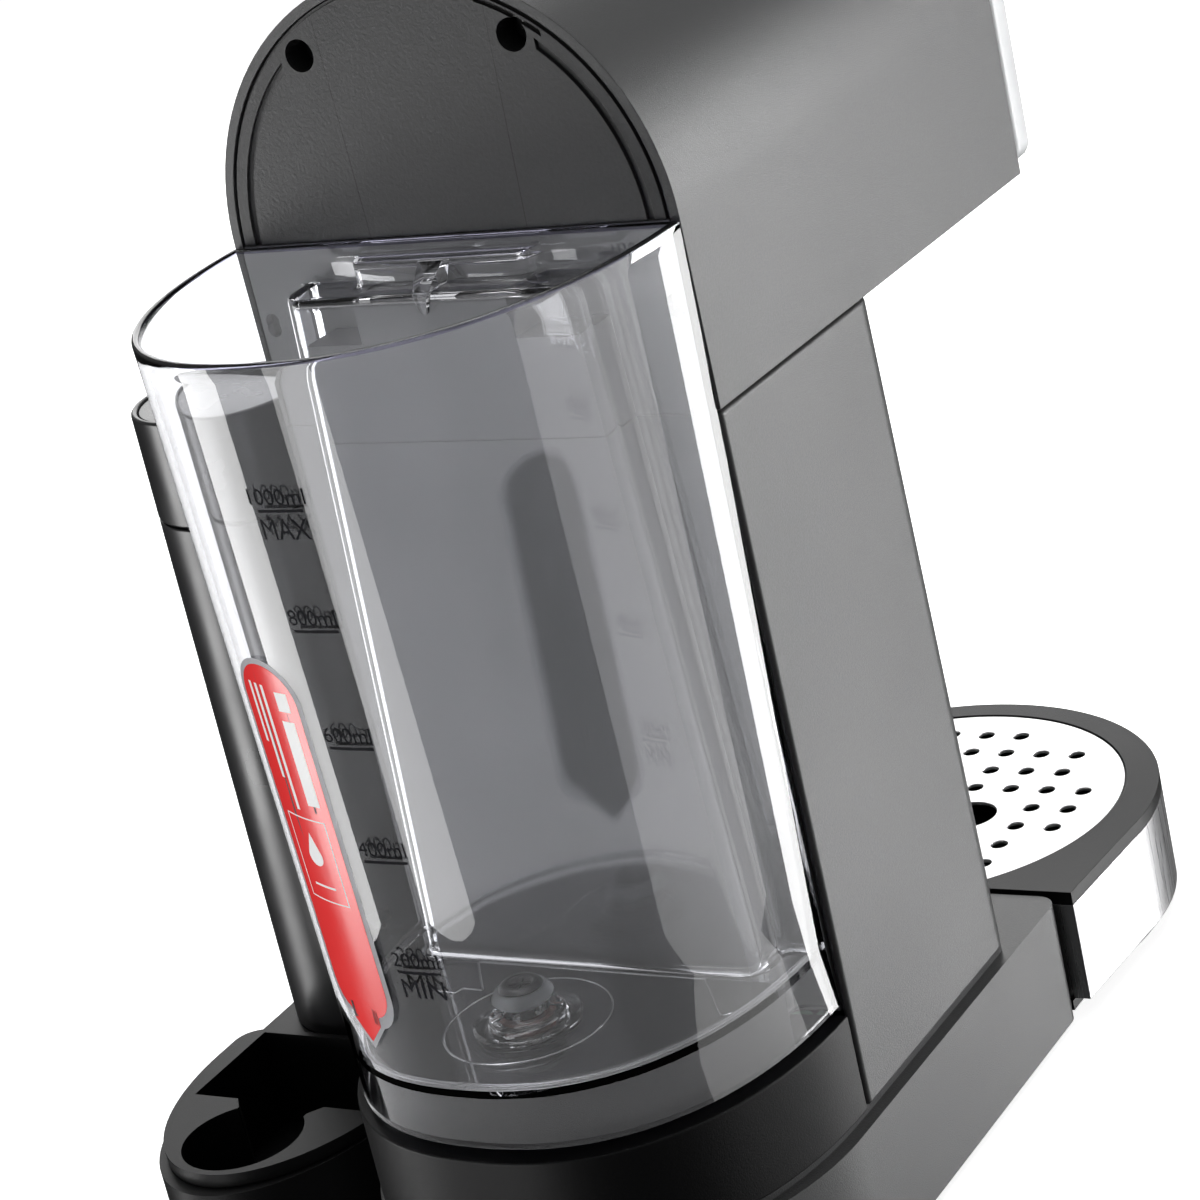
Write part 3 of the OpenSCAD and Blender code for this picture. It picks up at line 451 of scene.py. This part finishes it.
def tank_loop(z, inset, shape, share=1.0):
    """One loop of the tank: its rear curve and its front path. shape is flat, step or recess."""
    half, depth = tank_size(z)
    flat_y = TANK_FRONT + inset
    rear = d_curve(half - inset, depth - inset, flat_y)
    far = RECESS_Y - TANK_WALL + inset
    recess = recess_half(z) - TANK_WALL + inset
    path = front_path(recess, far, flat_y, CORNER - TANK_WALL + inset)
    near = STEP_Y - TANK_WALL + inset
    points = []
    for x, y in path:
        step_share = max(0.0, min(1.0, (STEP_HALF + 1.5 - abs(x)) / 3.0))
        step_y = flat_y + (near - flat_y) * step_share
        target = {"recess": y, "step": step_y, "flat": flat_y}[shape]
        base = {"recess": y, "step": y, "flat": step_y}[shape] if share < 1.0 else target
        points.append((x, base + (target - base) * share))
    return [(x, y, z) for x, y in rear + points]


def tank_side(inset, low, high):
    """Loops up one side of the wall, from the height low to high."""
    loops = [tank_loop(low, inset, "recess")]
    if low < FLOOR_Z:
        loops.append(tank_loop(FLOOR_Z, inset, "recess"))
    steps = 10
    ceiling = RECESS_TOP - (TANK_WALL - inset)
    top = STEP_TOP - (TANK_WALL - inset)
    rise = (ceiling - 1.5 - FLOOR_Z) / steps
    loops += [tank_loop(FLOOR_Z + rise * i, inset, "recess") for i in range(1, steps + 1)]
    loops += round_over(ceiling, inset, "step", 1.5)
    loops += round_over(top, inset, "flat", 1.0)
    loops.append(tank_loop(high, inset, "flat"))
    return loops


def round_over(z, inset, shape, radius):
    """Loops that turn a recess into a ceiling at z and on to the next shape, with rounded edges."""
    loops = []
    for i in range(1, 5):
        a = math.radians(90 * i / 4)
        loops.append(tank_loop(z - radius + radius * math.sin(a), inset, shape, 0.12 * (1 - math.cos(a))))
    loops.append(tank_loop(z, inset, shape, 0.5))
    for i in range(5):
        a = math.radians(90 * i / 4)
        height = z + radius * (1 - math.cos(a)) * 0.7
        loops.append(tank_loop(height, inset, shape, 0.88 + 0.12 * math.sin(a)))
    return loops


def fill_tank(bm):
    """The tank's shell: walls with a round lip, an open skirt and a floor with the valve's hole."""
    rim_round, hole = 1.0, 10.0
    outer = [ring_of(bm, loop) for loop in tank_side(0.0, SKIRT_Z, RIM_Z - rim_round)]
    inner = [ring_of(bm, loop) for loop in tank_side(TANK_WALL, FLOOR_Z, RIM_Z - rim_round)]
    lip = []
    for i in range(1, 6):
        a = math.radians(180 * i / 6)
        height = RIM_Z - rim_round + rim_round * math.sin(a)
        lip.append(ring_of(bm, tank_loop(height, TANK_WALL * (1 - math.cos(a)) / 2, "flat")))
    skin(bm, outer + lip + list(reversed(inner)))
    under = [ring_of(bm, tank_loop(z, TANK_WALL, "recess")) for z in (FLOOR_Z - TANK_WALL, SKIRT_Z)]
    skin(bm, [under[0], under[1], outer[0]])
    circle = circle_points((VALVE.x, VALVE.y), hole, 48, 48)
    rims = [ring_of(bm, [(x, y, z) for x, y in circle]) for z in (FLOOR_Z, FLOOR_Z - TANK_WALL)]
    skin(bm, rims)
    for loop, rim in ((inner[0], rims[0]), (under[0], rims[1])):
        sides = [(loop[i - 1], loop[i]) for i in range(len(loop))]
        edges = [bm.edges.get(pair) or bm.edges.new(pair) for pair in sides]
        edges += [bm.edges.get((rim[i - 1], rim[i])) for i in range(len(rim))]
        bmesh.ops.triangle_fill(bm, use_beauty=True, edges=edges)


tank = build("water_tank", "tank", CLEAR, fill_tank, smooth_angle=38.0)
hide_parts("tank_shell")


def tint_edges(obj):
    """Gives the rim and the skirt's lower edge the darker tint of plastic seen end on."""
    obj.data.materials.append(EDGE_TINT)
    rim, skirt = (ORIGIN.z + (RIM_Z - 1.1) * MM, ORIGIN.z + (SKIRT_Z + 0.05) * MM)
    for polygon in obj.data.polygons:
        heights = [obj.data.vertices[i].co.z for i in polygon.vertices]
        if min(heights) > rim or max(heights) < skirt:
            polygon.material_index = 1


tint_edges(tank)


def fill_fillet(bm):
    """The rounded corner between the tank's floor and its walls."""
    radius, clear = 2.2, 0.02
    rings = [ring_of(bm, tank_loop(FLOOR_Z + clear, TANK_WALL + clear, "recess"))]
    for i in range(6):
        a = math.radians(90 * i / 5)
        inset = TANK_WALL + clear + radius * (1 - math.cos(a))
        rings.append(ring_of(bm, tank_loop(FLOOR_Z + clear + radius * (1 - math.sin(a)), inset, "recess")))
    skin(bm, rings + [rings[0]])


build("floor_fillet", "tank", CLEAR, fill_fillet, smooth_angle=50.0)


def ridge(bm, path, width, height):
    """A low half-round ridge along a path of (x, y) on the tank's floor."""
    rings = []
    for i, (x, y) in enumerate(path):
        before, after = path[max(i - 1, 0)], path[min(i + 1, len(path) - 1)]
        dx, dy = after[0] - before[0], after[1] - before[1]
        size = math.hypot(dx, dy)
        nx, ny = -dy / size, dx / size
        ring = []
        for k in range(7):
            a = math.radians(180 * k / 6)
            across = width / 2 * math.cos(a)
            ring.append((x + nx * across, y + ny * across, FLOOR_Z + 0.01 + height * math.sin(a)))
        rings.append(ring_of(bm, ring))
    skin(bm, rings)
    cap(bm, rings[0])
    cap(bm, rings[-1])


def fill_floor_lines(bm):
    """The thin ridges on the tank's floor: the outline of a step, and a ring round the valve."""
    step = [(33.5, 34.0), (28.5, 34.6), (27.5, 32.0), (21.5, 32.2),
            (31.5, 18.7), (-36.7, 19.4), (-50.0, 36.0), (-54.0, 33.4)]
    ridge(bm, step[:4], 0.7, 0.35)
    ridge(bm, [step[3], step[4]], 0.7, 0.35)
    ridge(bm, step[4:], 0.7, 0.35)
    ridge(bm, circle_points((VALVE.x, VALVE.y), 21.0, 72, 73), 0.6, 0.3)


build("floor_lines", "tank", CLEAR, fill_floor_lines, smooth_angle=50.0)


def fill_rib(bm):
    """The V-shaped rib at the middle of the recess's top: (drop, half width, root y, crest y)."""
    wall, step = RECESS_Y - 0.1, STEP_Y - 0.1
    levels = [(14.3, 0.7, wall, RECESS_Y + 0.4), (13.4, 1.1, wall, RECESS_Y + 1.1),
              (10.0, 2.3, wall, RECESS_Y + 1.3), (9.3, 2.6, wall, RECESS_Y + 1.1),
              (9.2, 2.6, step, RECESS_Y + 1.0), (6.2, 3.6, step, STEP_Y + 5.0),
              (3.6, 4.5, step, STEP_Y + 1.6)]
    rings = []
    for drop, half, root, crest in levels:
        z = RIM_Z - drop
        top = half * 0.8
        rings.append(ring_of(bm, [(-half, root, z), (half, root, z), (top, crest, z), (-top, crest, z)]))
    skin(bm, rings)
    cap(bm, rings[0])
    cap(bm, rings[-1])


build("recess_rib", "tank", CLEAR, fill_rib, smooth_angle=40.0, bevel=0.3)


# ---- Print on the tank's rear wall ---------------------------------------------------------------

def wall_y(x, z):
    """Where the tank's outer wall is, at x across and z up."""
    half, depth = tank_size(z)
    share = max(0.0, 1.0 - abs(x / half) ** TANK_POWER)
    return TANK_FRONT + (depth - TANK_FRONT) * share ** (1 / TANK_POWER)


def bend_onto_wall(bm, low, high, step=1.5):
    """Bends flat faces, drawn in x and z, round the rear wall and makes them solid from low to high."""
    bmesh.ops.triangulate(bm, faces=bm.faces[:])
    for axis in (0, 2):
        values = [v.co[axis] for v in bm.verts]
        cut = math.ceil(min(values) / step) * step
        while cut < max(values):
            normal = Vector((1, 0, 0)) if axis == 0 else Vector((0, 0, 1))
            place = normal * cut
            geometry = bm.verts[:] + bm.edges[:] + bm.faces[:]
            bmesh.ops.bisect_plane(bm, geom=geometry, plane_co=place, plane_no=normal, dist=1e-5)
            cut += step if axis == 0 else step * 6
    bmesh.ops.remove_doubles(bm, verts=bm.verts, dist=0.001)
    back = bm.verts[:]
    made = bmesh.ops.extrude_face_region(bm, geom=bm.faces[:], use_keep_orig=True)
    for vert in back:
        vert.co.y = wall_y(vert.co.x, vert.co.z) + low
    for vert in (g for g in made["geom"] if isinstance(g, bmesh.types.BMVert)):
        vert.co.y = wall_y(vert.co.x, vert.co.z) + high


def add_outline(bm, points):
    """One flat face through points of (x, z)."""
    bm.faces.new([bm.verts.new((x, 0.0, z)) for x, z in points])


def add_bar(bm, low, high):
    """A flat rectangle between two corners of (x, z)."""
    add_outline(bm, [(low[0], low[1]), (high[0], low[1]), (high[0], high[1]), (low[0], high[1])])


def add_words(bm, words, middle, foot, width, height):
    """Plain letters that read from behind the tank, scaled to the given width and height."""
    curve = bpy.data.curves.new("words", "FONT")
    curve.body = words
    obj = bpy.data.objects.new("words", curve)
    mesh = bpy.data.meshes.new_from_object(obj)
    xs = [v.co.x for v in mesh.vertices]
    ys = [v.co.y for v in mesh.vertices]
    verts = []
    for vert in mesh.vertices:
        across = (vert.co.x - min(xs)) / (max(xs) - min(xs)) - 0.5
        rise = (vert.co.y - min(ys)) / (max(ys) - min(ys))
        verts.append(bm.verts.new((middle - across * width, 0.0, foot + rise * height)))
    for polygon in mesh.polygons:
        bm.faces.new([verts[i] for i in polygon.vertices])
    bpy.data.objects.remove(obj)
    bpy.data.curves.remove(curve)
    bpy.data.meshes.remove(mesh)


MARK_LOW, MARK_HIGH = SKIRT_Z + 49.1, RIM_Z - 35.1
MARKS = [(f"{200 * n}ml", MARK_LOW + (MARK_HIGH - MARK_LOW) * (n - 1) / 4) for n in range(1, 6)]


def fill_marks(bm):
    """The level marks: a number over a bar for each level, with MIN and MAX under two of them."""
    bar, line, lift = 12.4, 0.75, 1.5
    for words, z in MARKS:
        add_bar(bm, (-bar / 2, z - line / 2), (bar / 2, z + line / 2))
        add_words(bm, words, 0.2, z + lift, 13.2 if len(words) < 6 else 15.6, 3.9)
    add_words(bm, "MIN", 0.0, MARKS[0][1] - 7.0, 12.0, 5.0)
    add_words(bm, "MAX", 0.0, MARKS[-1][1] - 7.0, 13.0, 5.0)
    bend_onto_wall(bm, 0.01, 0.06)


build("level_marks", "tank", GREY_INK, fill_marks)

LABEL_LOW, LABEL_HIGH = span("tank_label")
LABEL_X = (LABEL_LOW.x + LABEL_HIGH.x) / 2
LABEL_HALF = (LABEL_HIGH.x - LABEL_LOW.x) / 2
LABEL_TIP, LABEL_TOP = LABEL_LOW.z, LABEL_HIGH.z


def label_outline(inset):
    """The label: a round top, straight sides, a rounded foot and an arrow tip that points down."""
    half = LABEL_HALF - inset
    foot_z = LABEL_TIP + 16 + inset
    points = []
    for i in range(25):
        a = math.radians(180 * i / 24)
        points.append((LABEL_X + half * math.cos(a), LABEL_TOP - LABEL_HALF + half * math.sin(a)))
    for i in range(7):
        a = math.radians(180 + 80 * i / 6)
        z = foot_z + (9 - inset) * math.sin(a)
        points.append((LABEL_X - half * 0.45 + half * 0.55 * math.cos(a), z))
    wing, neck = 6.2 - inset * 0.7, 3.8 - inset * 0.3
    wing_z, neck_z = LABEL_TIP + 7.0 + inset * 0.3, LABEL_TIP + 7.4 + inset * 0.4
    points += [(LABEL_X - neck, neck_z), (LABEL_X - wing, wing_z), (LABEL_X, LABEL_TIP + inset * 1.3),
               (LABEL_X + wing, wing_z), (LABEL_X + neck, neck_z)]
    for i in range(7):
        a = math.radians(280 + 80 * i / 6)
        z = foot_z + (9 - inset) * math.sin(a)
        points.append((LABEL_X + half * 0.45 + half * 0.55 * math.cos(a), z))
    return points


def fill_film(bm):
    """The clear film under the label, a little wider than its red field."""
    add_outline(bm, label_outline(0.0))
    bend_onto_wall(bm, 0.01, 0.05)


def fill_label(bm):
    """The label's red field."""
    add_outline(bm, label_outline(1.5))
    bend_onto_wall(bm, 0.06, 0.1)


def fill_label_print(bm):
    """Plain bars in place of words, and a frame with a drop over a bar."""
    top = LABEL_TOP - 8.0
    add_bar(bm, (LABEL_X - 7.6, top - 30), (LABEL_X - 3.4, top - 7.5))
    add_bar(bm, (LABEL_X - 7.6, top - 5), (LABEL_X - 3.4, top))
    for shift, length in ((0.0, 32.0), (2.5, 24.0), (5.0, 15.0)):
        add_bar(bm, (LABEL_X + 0.6 + shift, top - length), (LABEL_X + 1.7 + shift, top + 1))
    left, right, high, low, line = LABEL_X + 7.4, LABEL_X - 7.4, top - 34, top - 57, 0.35
    add_bar(bm, (right, high - line), (left, high))
    add_bar(bm, (right, low), (left, low + line))
    add_bar(bm, (right, low), (right + line, high))
    add_bar(bm, (left - line, low), (left, high))
    drop = [(LABEL_X, high - 4.0)]
    for i in range(13):
        a = math.radians(150 + 240 * i / 12)
        drop.append((LABEL_X + 2.6 * math.cos(a), high - 10.5 + 2.6 * math.sin(a)))
    add_outline(bm, drop)
    add_bar(bm, (LABEL_X - 4.0, low + 4.0), (LABEL_X + 4.0, low + 4.6))
    bend_onto_wall(bm, 0.11, 0.13)


build("label_film", "tank", FILM, fill_film)
label = build("red_label", "tank", RED, fill_label)
build("label_print", "tank", WHITE_INK, fill_label_print)
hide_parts("tank_label")


def darken_back(obj):
    """The side of the label that lies on the wall is dark."""
    obj.data.materials.append(LABEL_BACK)
    for polygon in obj.data.polygons:
        if polygon.normal.y < -0.1:
            polygon.material_index = 1


darken_back(label)


# ---- Tank valve ------------------------------------------------------------------------------------

def fill_valve_boss(bm):
    """The clear boss: a collar and a flange on the floor, and a ribbed neck below it."""
    bore, top = 5.6, FLOOR_Z + 3.6
    profile = [(bore, FLOOR_Z - 8.0), (bore, top - 0.6), (bore + 0.5, top), (7.4, top), (8.7, top - 0.4),
               (9.5, top - 1.0), (9.7, top - 1.7), (10.4, top - 2.1), (12.6, top - 2.2), (13.5, top - 2.5),
               (13.8, top - 2.9), (13.6, top - 3.4), (9.7, top - 3.45), (9.7, FLOOR_Z - 2.4)]
    for turn in range(4):
        z = FLOOR_Z - 2.6 - turn * 1.35
        profile += [(9.0, z - 0.2), (9.0, z - 0.5), (9.7, z - 0.75), (9.7, z - 1.15)]
    profile += [(9.0, FLOOR_Z - 8.0), (bore, FLOOR_Z - 8.0)]
    lathe(bm, profile, (VALVE.x, VALVE.y))


def fill_valve_cap(bm):
    """The plunger: a dished cap with a cross in it, a stem and a foot."""
    top = FLOOR_Z + 11.0
    profile = [(0.0, top - 0.9), (2.7, top - 0.9), (3.2, top - 0.6), (3.5, top - 0.1), (4.2, top),
               (5.0, top - 0.3), (5.6, top - 1.0), (5.6, top - 1.9), (4.4, top - 2.2), (4.3, top - 5.4),
               (4.0, top - 5.7), (2.0, top - 5.8), (2.0, top - 18.0), (4.6, top - 18.1),
               (4.6, top - 19.4), (0.0, top - 19.5)]
    lathe(bm, profile, (VALVE.x, VALVE.y))
    for angle in (20, 110):
        bar = bmesh.ops.create_cube(bm, size=1.0)["verts"]
        turn = Matrix.Rotation(math.radians(angle), 4, "Z") @ Matrix.Diagonal((5.2, 0.7, 0.7, 1.0))
        for vert in bar:
            vert.co = turn @ vert.co + Vector((VALVE.x, VALVE.y, top - 0.75))


def fill_valve_ring(bm):
    """The milky seal under the cap."""
    top = FLOOR_Z + 9.7
    profile = [(4.6, top), (6.0, top), (6.6, top - 0.4), (7.6, top - 1.7), (7.8, top - 2.3),
               (7.6, top - 2.8), (6.5, top - 3.8), (6.1, top - 4.0), (4.6, top - 4.0), (4.6, top)]
    lathe(bm, profile, (VALVE.x, VALVE.y))


valve_boss = build("valve_boss", "tank", CLEAR_VALVE, fill_valve_boss, smooth_angle=40.0)
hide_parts("valve_body")
valve_cap = build("valve_cap", "valve", SATIN, fill_valve_cap, smooth_angle=40.0)
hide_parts("valve_plunger")
valve_ring = build("valve_ring", "valve", MILKY, fill_valve_ring, smooth_angle=40.0)
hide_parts("plunger_seal")

# ---- Stage, light and camera --------------------------------------------------------------------

def stage_floor():
    """A white floor that curves up all round. Its glow keeps it pale; reflections leave it out."""
    flat, bend, wall = 5.0, 2.0, 6.0
    profile = [(flat * i / 8, 0.0) for i in range(9)]
    for degrees in range(10, 91, 10):
        a = math.radians(degrees)
        profile.append((flat + bend * math.sin(a), bend - bend * math.cos(a)))
    profile.append((flat + bend, wall))
    bm = bmesh.new()
    lathe(bm, profile, (0.0, 0.0), steps=48)
    bmesh.ops.remove_doubles(bm, verts=bm.verts, dist=0.001)
    bmesh.ops.recalc_face_normals(bm, faces=bm.faces)
    mesh = bpy.data.meshes.new("floor")
    bm.to_mesh(mesh)
    bm.free()
    for polygon in mesh.polygons:
        polygon.use_smooth = True
    floor = bpy.data.objects.new("floor", mesh)
    bpy.context.scene.collection.objects.link(floor)
    white = (0.9, 0.9, 0.9)
    material = new_material("floor_white", Base_Color=white, Roughness=0.7, Specular_IOR_Level=0.0,
                            Emission_Color=white, Emission_Strength=0.8)[0]
    paint(floor, material)
    floor.visible_glossy = False
    floor.visible_diffuse = False
    floor.visible_shadow = False


def softbox(name, azimuth, distance, height, size, radiance):
    """A rectangular light at an azimuth from +X, that faces the object."""
    data = bpy.data.lights.new(name, "AREA")
    data.shape = "RECTANGLE"
    data.size, data.size_y = size
    data.energy = radiance * size[0] * size[1] * math.pi
    light = bpy.data.objects.new(name, data)
    bpy.context.scene.collection.objects.link(light)
    turn = math.radians(azimuth)
    light.location = (distance * math.cos(turn), distance * math.sin(turn), height)
    light.rotation_mode = "QUATERNION"
    light.rotation_quaternion = (Vector((0, 0, 0.2)) - light.location).to_track_quat("-Z", "Y")
    light.visible_camera = False


def studio():
    """A dim sky that fades out below the horizon, and softboxes low enough for the upright faces."""
    world = bpy.data.worlds.new("studio")
    bpy.context.scene.world = world
    world.use_nodes = True
    tree = world.node_tree
    background = tree.nodes["Background"]
    background.inputs["Color"].default_value = (1.0, 1.0, 1.0, 1.0)
    coords = tree.nodes.new("ShaderNodeTexCoord")
    split = tree.nodes.new("ShaderNodeSeparateXYZ")
    tree.links.new(coords.outputs["Generated"], split.inputs["Vector"])
    tree.links.new(ramp(tree, split.outputs["Z"], -0.1, 0.3, 0.02, 0.25), background.inputs["Strength"])
    softbox("side_box", 195, 1.3, 0.0, (1.0, 1.1), 2.0)
    softbox("side_low", 232, 1.3, -0.32, (0.25, 0.75), 9.5)
    softbox("side_high", 223, 1.3, 0.3, (0.3, 0.6), 18.0)
    softbox("rear_box", 34, 1.3, -0.15, (0.5, 0.7), 8.0)
    softbox("rear_edge", 75, 1.3, -0.15, (0.5, 0.7), 5.0)
    softbox("front_box", 305, 1.3, 0.65, (1.0, 0.8), 2.2)
    softbox("top_box", 300, 0.5, 1.6, (1.2, 1.2), 4.0)
    bpy.context.scene.view_settings.view_transform = "Standard"


def photo_camera():
    """The camera: where it stands, where it looks and how far it leans, in the machine's terms."""
    data = bpy.data.cameras.new("camera")
    data.lens = 104.494
    data.sensor_width = 36.0
    camera = bpy.data.objects.new("camera", data)
    bpy.context.scene.collection.objects.link(camera)
    right = Vector((-0.8471, -0.4871, -0.2129)).normalized()
    forward = Vector((0.5316, -0.7741, -0.3440)).normalized()
    up = right.cross(forward).normalized()
    right = forward.cross(up)
    turn = Matrix((right, up, -forward)).transposed()
    camera.matrix_world = Matrix.Translation(at(-470.3, 657.67, 470.02)) @ turn.to_4x4()
    data.clip_start, data.clip_end = 0.05, 20.0
    bpy.context.scene.camera = camera


stage_floor()
studio()
photo_camera()
